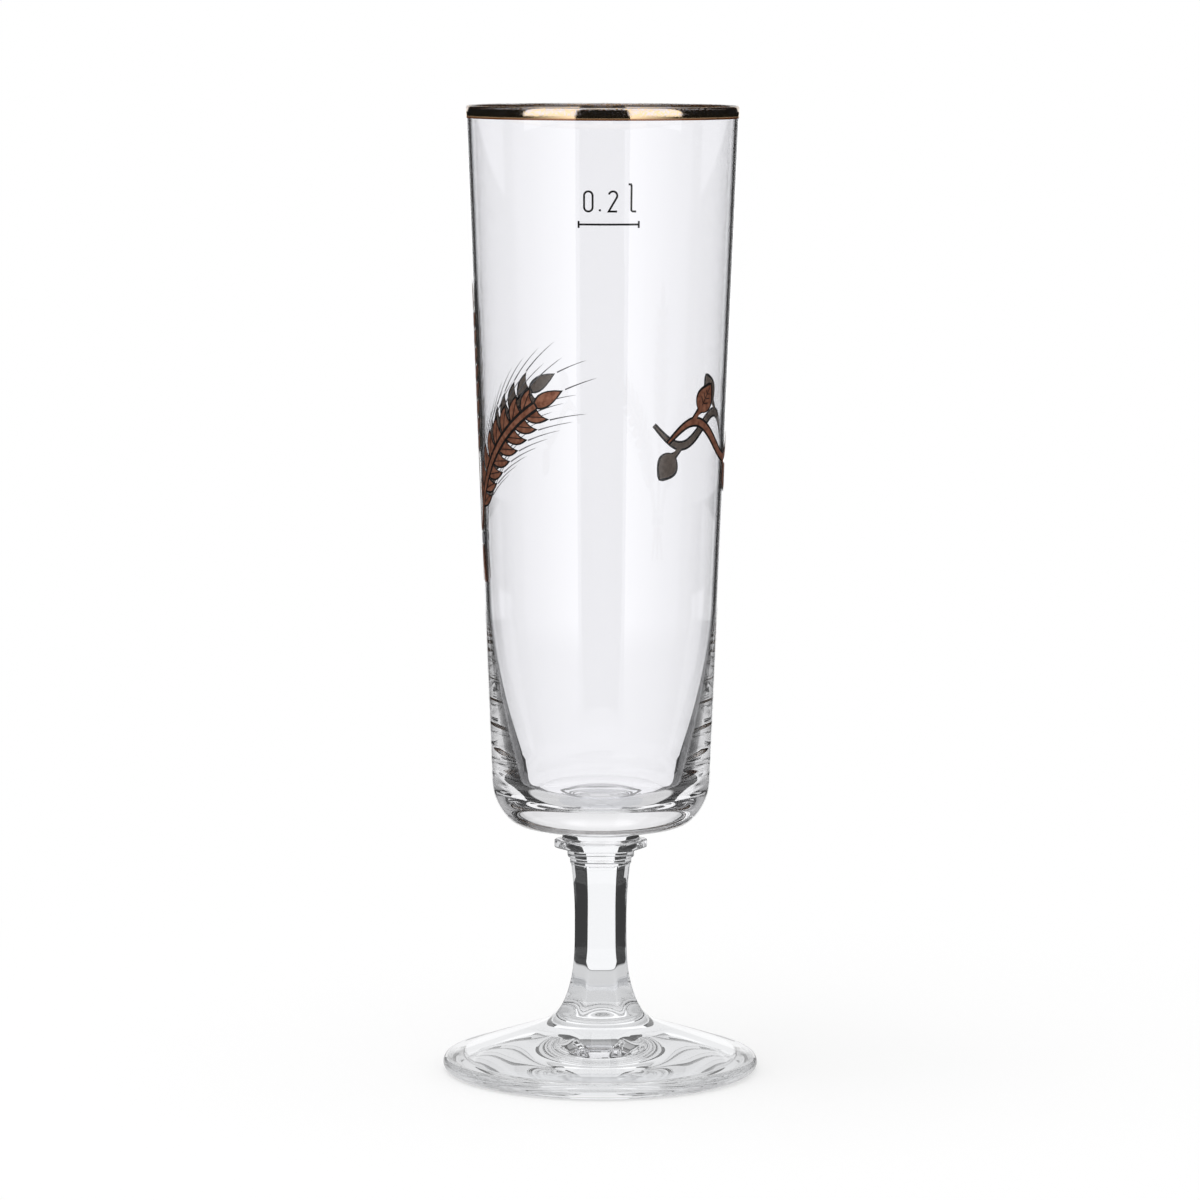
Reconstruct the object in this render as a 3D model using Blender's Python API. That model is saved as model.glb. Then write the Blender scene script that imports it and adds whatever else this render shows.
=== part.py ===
"""Stemmed pilsner glass: bowl, collar, faceted stem and foot, with fired decoration."""

import math

import bmesh
import bpy

# Heights of the stacked glass pieces, from the table up (metres).
FOOT_HEIGHT = 0.0154
STEM_LENGTH = 0.0311
COLLAR_HEIGHT = 0.0018
NECK_HEIGHT = 0.0030
BOWL_HEIGHT = 0.1484

# Bowl.
RIM_RADIUS = 0.02800
HEEL_RADIUS = 0.02260
WALL = 0.00090
BASE_THICKNESS = 0.0059
HEAVY_WALL_HEIGHT = 0.0355
FLOOR_RADIUS = 0.0166
FLOOR_SLOPE_ANGLE = math.radians(14.0)
FLOOR_FILLET = 0.0060
HEEL_HEIGHT = 0.0102
HEEL_WIDTH = 0.0073
NECK_RADIUS = 0.0080

# Collar and stem, both six-sided with a flat towards the front.
COLLAR_RADIUS = 0.0100
COLLAR_CHAMFER = 0.0003
STEM_WAIST_RADIUS = 0.00558
STEM_WAIST_HEIGHT = 0.0161
STEM_FOOT_FLARE = 0.00185
STEM_TOP_FLARE = 0.00080
CORNER_ROUNDING = 0.045
UPPER_TIER_RADIUS = 0.00695
UPPER_TIER_HEIGHT = 0.0019
LOWER_TIER_RADIUS = 0.00640
LOWER_TIER_HEIGHT = 0.0014

# Foot.
FOOT_RADIUS = 0.0327
FOOT_EDGE = 0.0030
BOSS_RADIUS = 0.0074
BOSS_ANGLE = math.radians(17.0)
BOSS_REACH = 0.0065
PLATE_ANGLE = math.radians(19.5)
PLATE_REACH = 0.0220
REST_RING_WIDTH = 0.0040
UNDERSIDE_RISE = 0.0035

# Fused seams and fired decoration.
SEAM = 0.0003
PRINT_GAP = 0.00010
PRINT_THICKNESS = 0.00010
LAYER_GAP = 0.00005
BAND_HEIGHT = 0.0025
BAND_THICKNESS = 0.00015

# Fill mark: depth below the rim, then the size and place of its signs along the wall.
FILL_DEPTH = 0.0231
FILL_LINE_LENGTH = 0.0125
FILL_LINE_WIDTH = 0.00040
FILL_TICK_HEIGHT = 0.0014
SIGN_STROKE = 0.00040
SIGN_LIFT = 0.0026
NUMERAL_HEIGHT = 0.0040
NUMERAL_WIDTH = 0.0017
LITRE_HEIGHT = 0.0054
LITRE_SERIF = 0.0006
ZERO_PLACE = -0.0041
POINT_PLACE = -0.0018
TWO_PLACE = 0.0008
LITRE_PLACE = 0.0045

# Barley sheaf on the left: height of its tie above the underside of the bowl.
SHEAF_HEIGHT = 0.0600
TIE_WIDTH = 0.0085
TIE_HEIGHT = 0.0022
STALK_WIDTH = 0.0010
STALK_SPREAD = 0.0026
OUTLINE = 0.00045
GRAINS = 8
GRAIN_PITCH = 0.0036
GRAIN_REACH = 0.0042
MIDDLE_STALK = 0.0155
SIDE_STALK = 0.0060
SIDE_LEAN = math.radians(20.0)
SIDE_BEND = math.radians(44.0)
STUBBLE_LENGTH = 0.0075
STUBBLE_SPREAD = 0.0040

# Running vine on the right: height of its middle above the underside of the bowl.
VINE_HEIGHT = 0.0812
VINE_LENGTH = 0.0540
VINE_WAVE = 0.0040
VINE_TURNS = 2
VINE_STALK = 0.0012
LEAF_LENGTH = 0.0088
LEAF_WIDTH = 0.0042
LEAF_STALK = 0.0026
LEAF_STALK_WIDTH = 0.0009
LEAF_ANGLE = math.radians(55.0)

SEGMENTS = 64
SIDE_STEPS = 8

FRONT = math.radians(270.0)
LEFT = math.radians(180.0)
RIGHT = math.radians(0.0)

STEM_BOTTOM = FOOT_HEIGHT + SEAM
STEM_TOP = FOOT_HEIGHT + STEM_LENGTH
COLLAR_BOTTOM = STEM_TOP + SEAM
COLLAR_TOP = STEM_TOP + COLLAR_HEIGHT
NECK_BOTTOM = COLLAR_TOP + SEAM
BOWL_BOTTOM = COLLAR_TOP + NECK_HEIGHT
RIM_TOP = BOWL_BOTTOM + BOWL_HEIGHT
HEEL_TOP = BOWL_BOTTOM + HEEL_HEIGHT
FLOOR = BOWL_BOTTOM + BASE_THICKNESS
FACET = 2.0 * math.pi / SEGMENTS


def clear_scene():
    for obj in list(bpy.data.objects):
        bpy.data.objects.remove(obj, do_unlink=True)


def principled(name, colour, roughness, metallic=0.0, transmission=0.0):
    mat = bpy.data.materials.new(name)
    mat.use_nodes = True
    shader = mat.node_tree.nodes["Principled BSDF"]
    shader.inputs["Base Color"].default_value = (*colour, 1.0)
    shader.inputs["Roughness"].default_value = roughness
    shader.inputs["Metallic"].default_value = metallic
    shader.inputs["Transmission Weight"].default_value = transmission
    return mat


def glass(name):
    return principled(name, (0.96, 0.98, 0.97), 0.02, transmission=1.0)


def copper_ink(name):
    return principled(name, (0.45, 0.20, 0.12), 0.38, metallic=0.7)


def black_ink(name):
    return principled(name, (0.02, 0.018, 0.018), 0.45)


def place(name, mesh, mat):
    obj = bpy.data.objects.new(name, mesh)
    bpy.context.collection.objects.link(obj)
    mesh.materials.append(mat)
    return obj


def from_bmesh(name, bm, mat):
    mesh = bpy.data.meshes.new(name)
    bm.to_mesh(mesh)
    bm.free()
    mesh.shade_smooth()
    mesh.set_sharp_from_angle(angle=math.radians(30.0))
    return place(name, mesh, mat)


def arc(centre, radii, start, end, steps):
    points = []
    for i in range(steps + 1):
        a = start + (end - start) * i / steps
        points.append((centre[0] + radii[0] * math.cos(a), centre[1] + radii[1] * math.sin(a)))
    return points


def cubic(p0, p1, p2, p3, steps):
    points = []
    for i in range(steps + 1):
        t = i / steps
        s = 1.0 - t
        weights = (s * s * s, 3.0 * s * s * t, 3.0 * s * t * t, t * t * t)
        points.append(tuple(sum(w * p[k] for w, p in zip(weights, (p0, p1, p2, p3))) for k in (0, 1)))
    return points


def turned(name, profile, mat, closed=False):
    """Turn a profile about the vertical axis; it runs down the outer side."""
    mesh = bpy.data.meshes.new(name)
    verts = [(r, 0.0, z) for r, z in profile]
    edges = [(i, i + 1) for i in range(len(verts) - 1)]
    if closed:
        edges.append((len(verts) - 1, 0))
    mesh.from_pydata(verts, edges, [])
    obj = place(name, mesh, mat)
    screw = obj.modifiers.new("Turn", "SCREW")
    screw.axis = "Z"
    screw.angle = 2.0 * math.pi
    screw.steps = SEGMENTS
    screw.render_steps = SEGMENTS
    screw.use_merge_vertices = True
    screw.merge_threshold = 0.000001
    screw.use_smooth_shade = True
    return obj


def wall_radius(z):
    """Outer radius of the straight bowl wall at a height."""
    return HEEL_RADIUS + (RIM_RADIUS - HEEL_RADIUS) * (z - HEEL_TOP) / (RIM_TOP - HEEL_TOP)


def lip():
    """Centre of the rounded lip."""
    z = RIM_TOP - WALL / 2.0
    return wall_radius(z) - WALL / 2.0, z


def bowl():
    start = HEEL_TOP + HEAVY_WALL_HEIGHT
    upper = (wall_radius(start) - WALL, start)
    slope = (RIM_RADIUS - HEEL_RADIUS) / (RIM_TOP - HEEL_TOP)
    floor_slope = math.tan(FLOOR_SLOPE_ANGLE)
    lower = (FLOOR_RADIUS + FLOOR_FILLET * floor_slope, FLOOR + FLOOR_FILLET)
    pull = 0.3 * (upper[1] - lower[1])
    well = cubic(
        lower,
        (lower[0] + pull * floor_slope, lower[1] + pull),
        (upper[0] - pull * slope, upper[1] - pull),
        upper,
        8,
    )
    fillet = arc((lower[0] - FLOOR_FILLET, lower[1]), (FLOOR_FILLET, FLOOR_FILLET), -math.pi / 2, 0, 4)
    heel_centre = (HEEL_RADIUS - HEEL_WIDTH, HEEL_TOP)
    profile = [(0.0, FLOOR)]
    profile += fillet[:-1]
    profile += well
    profile += arc(lip(), (WALL / 2, WALL / 2), math.pi, 0, 4)
    profile += arc(heel_centre, (HEEL_WIDTH, HEEL_HEIGHT), 0, -math.pi / 2, 8)
    profile += [(NECK_RADIUS, BOWL_BOTTOM), (NECK_RADIUS, NECK_BOTTOM), (0.0, NECK_BOTTOM)]
    turned("bowl", profile, glass("bowl_glass"))


def gold_band():
    inner = WALL / 2 + PRINT_GAP
    outer = inner + BAND_THICKNESS
    low = RIM_TOP - BAND_HEIGHT
    over = math.radians(120.0)
    profile = arc(lip(), (outer, outer), over, 0, 4)
    profile.append((wall_radius(low) + PRINT_GAP + BAND_THICKNESS, low))
    profile.append((wall_radius(low) + PRINT_GAP, low))
    profile += arc(lip(), (inner, inner), 0, over, 4)
    turned("gold_rim_band", profile, principled("gold", (0.83, 0.58, 0.22), 0.22, metallic=1.0), closed=True)


def foot():
    edge = FOOT_EDGE / 2.0
    plate_rim = (FOOT_RADIUS - edge, FOOT_EDGE)
    top = (BOSS_RADIUS, FOOT_HEIGHT)
    down = (BOSS_RADIUS + BOSS_REACH * math.sin(BOSS_ANGLE), FOOT_HEIGHT - BOSS_REACH * math.cos(BOSS_ANGLE))
    back = (plate_rim[0] - PLATE_REACH * math.cos(PLATE_ANGLE), FOOT_EDGE + PLATE_REACH * math.sin(PLATE_ANGLE))
    hollow = plate_rim[0] - REST_RING_WIDTH
    profile = [(0.0, FOOT_HEIGHT)]
    profile += cubic(top, down, back, plate_rim, 10)
    profile += arc((plate_rim[0], edge), (edge, edge), math.pi / 2, -math.pi / 2, 6)[1:]
    for i in range(5):
        r = hollow * (1.0 - i / 4.0)
        profile.append((r, UNDERSIDE_RISE * (1.0 - (r / hollow) ** 2)))
    turned("foot", profile, glass("foot_glass"))


def six_sided(radius, angle):
    """Radius of a hexagon with softened corners; its corners lie at 0, 60, 120 degrees."""
    third = math.pi / 3.0
    off = angle % third - third / 2.0
    flat = radius * math.cos(third / 2.0) / math.cos(off)
    return min(flat, radius * (1.0 - CORNER_ROUNDING))


def loft(name, rings, mat):
    """Skin closed rings, bottom to top, and cap both ends. A ring is (z, radius, six sides or round)."""
    bm = bmesh.new()
    count = 6 * SIDE_STEPS
    loops = []
    for z, radius, sided in rings:
        loop = []
        for i in range(count):
            a = 2.0 * math.pi * i / count
            r = six_sided(radius, a) if sided else radius
            loop.append(bm.verts.new((r * math.cos(a), r * math.sin(a), z)))
        loops.append(loop)
    for low, high in zip(loops, loops[1:]):
        for i in range(count):
            j = (i + 1) % count
            bm.faces.new((low[i], low[j], high[j], high[i]))
    bm.faces.new(loops[0][::-1])
    bm.faces.new(loops[-1])
    from_bmesh(name, bm, mat)


def collar():
    slim = COLLAR_RADIUS - COLLAR_CHAMFER
    rings = [
        (COLLAR_BOTTOM, slim, True),
        (COLLAR_BOTTOM + COLLAR_CHAMFER, COLLAR_RADIUS, True),
        (COLLAR_TOP - COLLAR_CHAMFER, COLLAR_RADIUS, True),
        (COLLAR_TOP, slim, True),
    ]
    loft("collar", rings, glass("collar_glass"))


def stem():
    facet_top = STEM_TOP - UPPER_TIER_HEIGHT - LOWER_TIER_HEIGHT
    waist = STEM_BOTTOM + STEM_WAIST_HEIGHT
    rings = []
    for i in range(8):
        z = STEM_BOTTOM + STEM_WAIST_HEIGHT * i / 8.0
        rings.append((z, STEM_WAIST_RADIUS + STEM_FOOT_FLARE * (1.0 - i / 8.0) ** 3.5, True))
    for i in range(5):
        z = waist + (facet_top - waist) * i / 4.0
        rings.append((z, STEM_WAIST_RADIUS + STEM_TOP_FLARE * (i / 4.0) ** 2, True))
    rings.append((facet_top, LOWER_TIER_RADIUS, False))
    rings.append((facet_top + LOWER_TIER_HEIGHT, LOWER_TIER_RADIUS, False))
    rings.append((facet_top + LOWER_TIER_HEIGHT, UPPER_TIER_RADIUS, False))
    rings.append((STEM_TOP, UPPER_TIER_RADIUS, False))
    loft("stem", rings, glass("stem_glass"))


def flat_outline(points):
    """Fill one closed outline, given as (along the wall, up) in metres."""
    bm = bmesh.new()
    face = bm.faces.new([bm.verts.new((u, v, 0.0)) for u, v in points])
    face.normal_update()
    bmesh.ops.triangulate(bm, faces=[face], ngon_method="EAR_CLIP")
    return bm


def flat_stroke(path, width, closed=False):
    """Fill a stroke of even width along a path, with mitred corners."""
    bm = bmesh.new()
    count = len(path)
    sides = []
    for i, (u, v) in enumerate(path):
        before = path[i - 1] if closed or i > 0 else (2 * u - path[1][0], 2 * v - path[1][1])
        after = path[(i + 1) % count] if closed or i < count - 1 else (2 * u - before[0], 2 * v - before[1])
        a = math.atan2(v - before[1], u - before[0])
        b = math.atan2(after[1] - v, after[0] - u)
        turn = math.remainder(b - a, 2.0 * math.pi)
        normal = a + turn / 2.0 + math.pi / 2.0
        reach = width / 2.0 / math.cos(turn / 2.0)
        du, dv = reach * math.cos(normal), reach * math.sin(normal)
        sides.append((bm.verts.new((u + du, v + dv, 0.0)), bm.verts.new((u - du, v - dv, 0.0))))
    for i in range(count if closed else count - 1):
        (a, b), (c, d) = sides[i], sides[(i + 1) % count]
        bm.faces.new((a, b, d, c))
    return bm


def fired_on(name, bm, azimuth, height, layer, mat):
    """Thicken a flat print and wrap it on the bowl wall, each strip parallel to its facet."""
    lift = PRINT_GAP + layer * (PRINT_THICKNESS + LAYER_GAP)
    radius = wall_radius(height)
    reach = max(abs(v.co.x) for v in bm.verts) / radius
    first = math.ceil((azimuth - reach) / FACET)
    last = math.floor((azimuth + reach) / FACET)
    for k in range(first, last + 1):
        cut = ((k * FACET - azimuth) * radius, 0.0, 0.0)
        geom = bm.verts[:] + bm.edges[:] + bm.faces[:]
        bmesh.ops.bisect_plane(bm, geom=geom, dist=0.0000005, plane_co=cut, plane_no=(1.0, 0.0, 0.0))
    bm.normal_update()
    bmesh.ops.triangulate(bm, faces=bm.faces[:])
    grown = bmesh.ops.extrude_face_region(bm, geom=bm.faces[:], use_keep_orig=True)
    for v in grown["geom"]:
        if isinstance(v, bmesh.types.BMVert):
            v.co.z = PRINT_THICKNESS
    bmesh.ops.recalc_face_normals(bm, faces=bm.faces[:])
    for v in bm.verts:
        angle = azimuth + v.co.x / radius
        off = (angle + FACET / 2.0) % FACET - FACET / 2.0
        off = off - FACET / 2.0 if off > 0.0 else off + FACET / 2.0
        z = height + v.co.y
        r = (wall_radius(z) * math.cos(FACET / 2.0) + lift + v.co.z) / math.cos(off)
        v.co = (r * math.cos(angle), r * math.sin(angle), z)
    from_bmesh(name, bm, mat)


def fill_mark():
    ink = black_ink("fill_mark_ink")
    line = RIM_TOP - FILL_DEPTH
    fired_on("fill_line", ticked_line(), FRONT, line, 0, ink)

    base = line + SIGN_LIFT
    signs = (
        ("fill_digit_zero", numeral_zero(), ZERO_PLACE),
        ("fill_point", decimal_point(), POINT_PLACE),
        ("fill_digit_two", numeral_two(), TWO_PLACE),
        ("fill_letter_litre", letter_litre(), LITRE_PLACE),
    )
    for name, bm, along in signs:
        fired_on(name, bm, FRONT + along / wall_radius(base), base, 0, ink)


def ticked_line():
    """A level line with a short upright tick across each end."""
    half = FILL_LINE_LENGTH / 2
    tick = FILL_TICK_HEIGHT / 2
    w = FILL_LINE_WIDTH / 2
    bm = bmesh.new()
    rows = [[bm.verts.new((u, v, 0.0)) for u in (-half, 2 * w - half, half - 2 * w, half)] for v in (-tick, -w, w, tick)]
    for k in range(3):
        for i in (0, 1, 2) if k == 1 else (0, 2):
            bm.faces.new((rows[k][i], rows[k][i + 1], rows[k + 1][i + 1], rows[k + 1][i]))
    return bm


def numeral_zero():
    half = NUMERAL_WIDTH / 2
    ring = arc((0.0, NUMERAL_HEIGHT - half), (half, half), 0, math.pi, 6)
    ring += arc((0.0, half), (half, half), math.pi, 2 * math.pi, 6)
    return flat_stroke(ring, SIGN_STROKE, closed=True)


def decimal_point():
    dot = SIGN_STROKE * 0.6
    return flat_outline(arc((0.0, dot), (dot, dot), 0, 2 * math.pi, 8)[:-1])


def numeral_two():
    half = NUMERAL_WIDTH / 2
    path = arc((0.0, NUMERAL_HEIGHT - half), (half, half), math.radians(165), math.radians(-35), 6)
    path += [(-half, 0.0), (half, 0.0)]
    return flat_stroke(path, SIGN_STROKE)


def letter_litre():
    bend = SIGN_STROKE
    path = [(-LITRE_SERIF, LITRE_HEIGHT), (-SIGN_STROKE * 0.3, LITRE_HEIGHT), (0.0, LITRE_HEIGHT - SIGN_STROKE * 0.6)]
    path += arc((bend, bend), (bend, bend), math.pi, 1.5 * math.pi, 3)
    path.append((bend + LITRE_SERIF, 0.0))
    return flat_stroke(path, SIGN_STROKE)


def mirrored(right):
    """Close a half outline, drawn upwards on the right, with its mirror image."""
    return right + [(-u, v) for u, v in right[::-1] if abs(u) > 0.0]


def ear_outline(stalk, grow):
    """Barley ear on its stalk, pointing up; grow widens it all round."""
    half = STALK_WIDTH / 2 + grow
    right = [(half, -grow)]
    for i in range(GRAINS):
        s = stalk + i * GRAIN_PITCH
        swell = 0.7 + 0.3 * math.sin(math.pi * (i + 1) / (GRAINS + 1))
        right.append((half, s))
        right.append((GRAIN_REACH * swell * 0.72 + grow, s + 0.42 * GRAIN_PITCH))
        right.append((GRAIN_REACH * swell + grow, s + 1.25 * GRAIN_PITCH + grow))
    top = stalk + GRAINS * GRAIN_PITCH
    right.append((half, top))
    right.append((GRAIN_REACH * 0.38 + grow, top + 0.7 * GRAIN_PITCH))
    right.append((0.0, top + 1.8 * GRAIN_PITCH + grow))
    return mirrored(right)


def bent(points, start, lean, bend, length):
    """Carry an upright shape along an arc that starts at a lean and turns by a bend."""
    moved = []
    for w, s in points:
        a = lean + bend * s / length
        if abs(bend) > 0.0:
            u = length / bend * (math.cos(lean) - math.cos(a))
            v = length / bend * (math.sin(a) - math.sin(lean))
        else:
            u, v = s * math.sin(lean), s * math.cos(lean)
        moved.append((start + u + w * math.cos(a), v - w * math.sin(a)))
    return moved


def sheaf():
    tie = BOWL_BOTTOM + SHEAF_HEIGHT
    root = tie + TIE_HEIGHT / 2 + OUTLINE + SEAM
    length = SIDE_STALK + (GRAINS + 1.8) * GRAIN_PITCH
    for name, side in (("middle", 0), ("front", 1), ("rear", -1)):
        stalk = SIDE_STALK if side else MIDDLE_STALK
        for layer, grow, ink in ((0, OUTLINE, black_ink), (1, 0.0, copper_ink)):
            tone = "outline" if grow else "ear"
            shape = ear_outline(stalk, grow)
            shape = bent(shape, side * STALK_SPREAD, side * SIDE_LEAN, side * SIDE_BEND, length)
            node = "barley_" + name + "_" + tone
            fired_on(node, flat_outline(shape), LEFT, root, layer, ink(node + "_ink"))

    silver = principled("silver_ink", (0.55, 0.55, 0.56), 0.35, metallic=0.6)
    half = TIE_WIDTH / 2
    side = arc((half - TIE_HEIGHT / 2, 0.0), (TIE_HEIGHT / 2, TIE_HEIGHT / 2), -math.pi / 2, math.pi / 2, 4)
    fired_on("sheaf_tie", flat_outline(mirrored(side)), LEFT, tie, 0, silver)

    cut = [(half * 0.55, 0.0)]
    cut += [(STUBBLE_SPREAD + STALK_WIDTH / 2, -STUBBLE_LENGTH), (STUBBLE_SPREAD - STALK_WIDTH, -STUBBLE_LENGTH)]
    cut += [(STALK_WIDTH, -STUBBLE_LENGTH * 0.25), (STALK_WIDTH * 0.7, -STUBBLE_LENGTH)]
    shape = flat_outline(mirrored(cut))
    fired_on("sheaf_stubble", shape, LEFT, tie - TIE_HEIGHT / 2 - SEAM, 0, copper_ink("stubble_ink"))


def leaf(base, direction, grow):
    """Almond leaf outline on its short stalk, from one side round the tip and back."""
    length = LEAF_LENGTH + grow
    near, far = [], []
    for t in (0.0, 0.22, 0.5, 0.78):
        along = LEAF_STALK + t * (length - LEAF_STALK)
        half = LEAF_WIDTH / 2 * math.sin(math.pi * t ** 0.8) + LEAF_STALK_WIDTH / 2 * (1.0 - t) + grow
        u = base[0] + along * math.cos(direction)
        v = base[1] + along * math.sin(direction)
        near.append((u - half * math.sin(direction), v + half * math.cos(direction)))
        far.append((u + half * math.sin(direction), v - half * math.cos(direction)))
    tip = (base[0] + length * math.cos(direction), base[1] + length * math.sin(direction))
    return near + [tip] + far[::-1]


def vine_outline(grow):
    """Wavy stalk with a leaf on the outside of each bend."""
    half = VINE_STALK / 2 + grow
    steps = 24 * VINE_TURNS
    upper, lower = [], []
    for i in range(steps + 1):
        u = VINE_LENGTH * (i / steps - 0.5)
        phase = 2.0 * math.pi * VINE_TURNS * i / steps
        v = VINE_WAVE * math.sin(phase)
        tilt = math.atan(VINE_WAVE * 2.0 * math.pi * VINE_TURNS / VINE_LENGTH * math.cos(phase))
        upper.append((u - half * math.sin(tilt), v + half * math.cos(tilt)))
        lower.append((u + half * math.sin(tilt), v - half * math.cos(tilt)))
        if i % 24 == 6:
            upper[-1:] = leaf((u, v), LEAF_ANGLE, grow)
        if i % 24 == 18:
            lower[-1:] = leaf((u, v), -LEAF_ANGLE, grow)[::-1]
    return upper + lower[::-1]


def vine():
    middle = BOWL_BOTTOM + VINE_HEIGHT
    fired_on("vine_outline", flat_outline(vine_outline(OUTLINE)), RIGHT, middle, 0, black_ink("vine_outline_ink"))
    fired_on("vine", flat_outline(vine_outline(0.0)), RIGHT, middle, 1, copper_ink("vine_ink"))


clear_scene()
foot()
stem()
collar()
bowl()
gold_band()
fill_mark()
sheaf()
vine()
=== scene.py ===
import math

import bmesh
import bpy
from mathutils import Matrix, Vector


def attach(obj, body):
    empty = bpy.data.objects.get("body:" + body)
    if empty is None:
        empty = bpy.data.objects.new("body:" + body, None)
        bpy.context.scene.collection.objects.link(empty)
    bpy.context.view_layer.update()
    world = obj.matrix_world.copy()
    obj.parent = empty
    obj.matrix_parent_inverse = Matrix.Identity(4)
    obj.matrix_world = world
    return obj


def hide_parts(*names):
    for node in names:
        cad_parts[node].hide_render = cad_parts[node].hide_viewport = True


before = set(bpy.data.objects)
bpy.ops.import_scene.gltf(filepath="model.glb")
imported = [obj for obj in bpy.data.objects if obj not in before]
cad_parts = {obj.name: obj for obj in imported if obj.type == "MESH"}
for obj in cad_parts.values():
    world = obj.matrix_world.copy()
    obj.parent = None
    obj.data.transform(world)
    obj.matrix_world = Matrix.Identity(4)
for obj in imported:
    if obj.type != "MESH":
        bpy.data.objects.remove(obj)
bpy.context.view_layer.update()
scene = bpy.context.scene
scene.view_settings.view_transform = "Standard"
scene.cycles.max_bounces = 140  # light runs far along the inside of a thick wall before it comes out
scene.cycles.transmission_bounces = 130
scene.cycles.glossy_bounces = 100
scene.cycles.transparent_max_bounces = 32
mm = 0.001
print("frame loaded")


def fromHex(code):
    parts = [int(code[i:i + 2], 16) / 255 for i in (1, 3, 5)]
    return tuple(c / 12.92 if c <= 0.04045 else ((c + 0.055) / 1.055) ** 2.4 for c in parts) + (1.0,)


def addNode(tree, kind, settings, links=()):
    node = tree.nodes.new(kind)
    for key, value in settings.items():
        if isinstance(key, int) or key in node.inputs:
            node.inputs[key].default_value = value
        else:
            setattr(node, key, value)
    for key, socket in dict(links).items():
        tree.links.new(socket, node.inputs[key])
    return node


def emptyMaterial(name):
    material = bpy.data.materials.new(name)
    material.use_nodes = True
    material.node_tree.nodes.clear()
    return material, material.node_tree


def newMaterial(name, settings):
    material, tree = emptyMaterial(name)
    shader = addNode(tree, "ShaderNodeBsdfPrincipled", settings)
    addNode(tree, "ShaderNodeOutputMaterial", {}, {"Surface": shader.outputs[0]})
    place = addNode(tree, "ShaderNodeTexCoord", {}).outputs["Object"]
    return material, tree, shader, place


# Soda-lime glass: clear, with almost no colour. The ripple is how far apart the waves in its skin are, in mm.
def clearGlass(name, colour, ripple, detail, strength):
    material, tree, shader, place = newMaterial(name, {
        "Base Color": fromHex(colour), "Transmission Weight": 1.0, "IOR": 1.5, "Roughness": 0.0})
    wave = addNode(tree, "ShaderNodeTexNoise", {"Scale": 1 / (ripple * mm), "Detail": detail},
                   {"Vector": place})
    bump = addNode(tree, "ShaderNodeBump", {"Strength": strength, "Distance": 0.02 * mm},
                   {"Height": wave.outputs[0]})
    tree.links.new(bump.outputs[0], shader.inputs["Normal"])
    return material


# Where two gathers of hot glass were joined there is no surface left to see.
def fusedSeam():
    return newMaterial("fused glass seam", {
        "Alpha": 0.0, "Transmission Weight": 1.0, "IOR": 1.5, "Roughness": 0.0})[0]


# Heights in mm where the gold gets rubbed, goes bare and thins out, the size of a speck, the noise levels
# over which a speck turns rubbed or bare, and the colours.
gold = {"rubbedFrom": 197.9, "rubbedTo": 198.4, "bareFrom": 199.1, "bareTo": 199.7, "thinFrom": 197.75,
        "thinTo": 197.4, "speck": 0.5, "rubbedSpecks": (0.38, 0.62), "bareSpecks": (0.34, 0.5),
        "film": "#F5D8AC", "thinEdge": "#B86A34", "rubbed": "#E4DADD"}


# Liquid bright gold, brushed on and fired: a thin mirror, rubbed to pale specks and bare spots along the lip
# and running out below in an edge so thin that it looks amber.
def firedGold():
    g = gold
    material, tree, shader, place = newMaterial("liquid bright gold, fired", {})
    height = addNode(tree, "ShaderNodeSeparateXYZ", {}, {"Vector": place}).outputs["Z"]
    lip, thin, top = [
        addNode(tree, "ShaderNodeMapRange",
                {"From Min": g[part + "From"] * mm, "From Max": g[part + "To"] * mm}, {"Value": height})
        for part in ("rubbed", "thin", "bare")]
    speck = addNode(tree, "ShaderNodeTexNoise", {"Scale": 1 / (g["speck"] * mm), "Detail": 3.0},
                    {"Vector": place})
    rubbed, spot = [
        addNode(tree, "ShaderNodeMapRange", {"From Min": low, "From Max": high}, {"Value": speck.outputs[0]})
        for low, high in (g["rubbedSpecks"], g["bareSpecks"])]
    wear, bare = [
        addNode(tree, "ShaderNodeMath", {"operation": "MULTIPLY"}, {0: one.outputs[0], 1: two.outputs[0]})
        for one, two in ((lip, rubbed), (top, spot))]
    state = addNode(tree, "ShaderNodeMath", {"operation": "SUBTRACT"},
                    {0: wear.outputs[0], 1: thin.outputs[0]})
    share = addNode(tree, "ShaderNodeMapRange", {"From Min": -1.0, "From Max": 1.0},
                    {"Value": state.outputs[0]})
    tone = addNode(tree, "ShaderNodeValToRGB", {}, {"Fac": share.outputs[0]})
    tone.color_ramp.elements[0].color = fromHex(g["thinEdge"])
    tone.color_ramp.elements[1].color = fromHex(g["rubbed"])
    tone.color_ramp.elements.new(0.5).color = fromHex(g["film"])
    metal = addNode(tree, "ShaderNodeMapRange", {"To Min": 1.0, "To Max": 0.3}, {"Value": thin.outputs[0]})
    gloss = addNode(tree, "ShaderNodeMapRange", {"To Min": 0.06, "To Max": 0.13}, {"Value": wear.outputs[0]})
    bump = addNode(tree, "ShaderNodeBump", {"Strength": 0.25, "Distance": 0.02 * mm},
                   {"Height": speck.outputs[0]})
    kept = addNode(tree, "ShaderNodeMath", {"operation": "SUBTRACT", 0: 1.0}, {1: bare.outputs[0]})
    for node, socket in ((kept, "Alpha"), (tone, "Base Color"), (metal, "Metallic"), (gloss, "Roughness"),
                         (bump, "Normal")):
        tree.links.new(node.outputs[0], shader.inputs[socket])
    return material


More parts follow.
